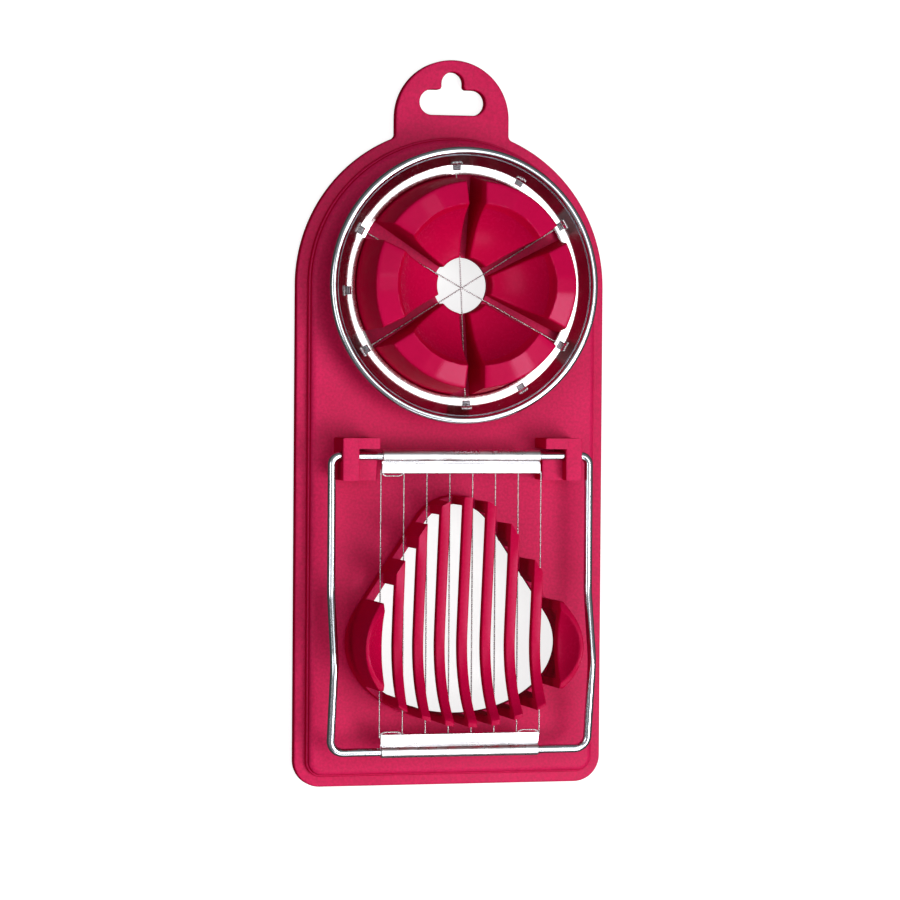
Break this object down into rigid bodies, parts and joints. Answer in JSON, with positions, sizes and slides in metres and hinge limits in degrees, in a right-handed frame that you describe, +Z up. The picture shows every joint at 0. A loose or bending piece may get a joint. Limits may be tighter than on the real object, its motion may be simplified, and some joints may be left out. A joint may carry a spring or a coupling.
{
  "type": "egg slicer",
  "caption": "Egg slicer and wedger: flat moulded stand with a slotted cradle under a hinged wire frame, and a petal cup under a lift-off ring of crossed wires.",
  "frame": {"origin": "bottom centre of the bounding box, on the surface it stands on", "axes": "+X across the tool, +Y from the square end to the hang tab, +Z up"},
  "size_m": [0.09, 0.2058, 0.032],
  "materials": {
    "stand_plastic": "fine matte moulded, raspberry red",
    "smooth_plastic": "smooth moulded, raspberry red",
    "bright_wire": "bright drawn steel wire",
    "steel_sheet": "polished folded sheet",
    "cutting_wire": "thin twisted steel wire"
  },
  "bodies": {
    "stand": {"base_plate": "stand_plastic", "hinge_block_left": "stand_plastic", "hinge_block_right": "stand_plastic", "cup_base": "stand_plastic", "petal_1": "smooth_plastic", "petal_2": "smooth_plastic", "petal_3": "smooth_plastic", "petal_4": "smooth_plastic", "petal_5": "smooth_plastic", "petal_6": "smooth_plastic", "cradle_scoop_left": "smooth_plastic", "cradle_scoop_right": "smooth_plastic", "cradle_rib_1": "smooth_plastic", "cradle_rib_2": "smooth_plastic", "cradle_rib_3": "smooth_plastic", "cradle_rib_4": "smooth_plastic", "cradle_rib_5": "smooth_plastic", "cradle_rib_6": "smooth_plastic", "cradle_rib_7": "smooth_plastic"},
    "slicer_frame": {"frame_wire": "bright_wire", "hinge_strip": "steel_sheet", "front_strip": "steel_sheet", "slicing_wire_1": "cutting_wire", "slicing_wire_2": "cutting_wire", "slicing_wire_3": "cutting_wire", "slicing_wire_4": "cutting_wire", "slicing_wire_5": "cutting_wire", "slicing_wire_6": "cutting_wire", "slicing_wire_7": "cutting_wire", "slicing_wire_8": "cutting_wire", "hinge_wire_return": "cutting_wire", "front_wire_returns": "cutting_wire"},
    "wedge_ring": {"wedge_ring_plate": "steel_sheet", "wedge_hoop": "bright_wire", "wedge_wire_1": "cutting_wire", "wedge_wire_2": "cutting_wire", "wedge_wire_3": "cutting_wire", "wedge_wire_links": "cutting_wire"}
  },
  "joints": [
    {"name": "frame_hinge", "type": "hinge", "parent": "stand", "child": "slicer_frame", "pos_m": [0, -0.0091, 0.0155], "axis": [-1, 0, 0], "range_deg": [0, 100]},
    {"name": "ring_lift", "type": "slide", "parent": "stand", "child": "wedge_ring", "axis": [0, 0, 1], "range_m": [0, 0.024]}
  ]
}
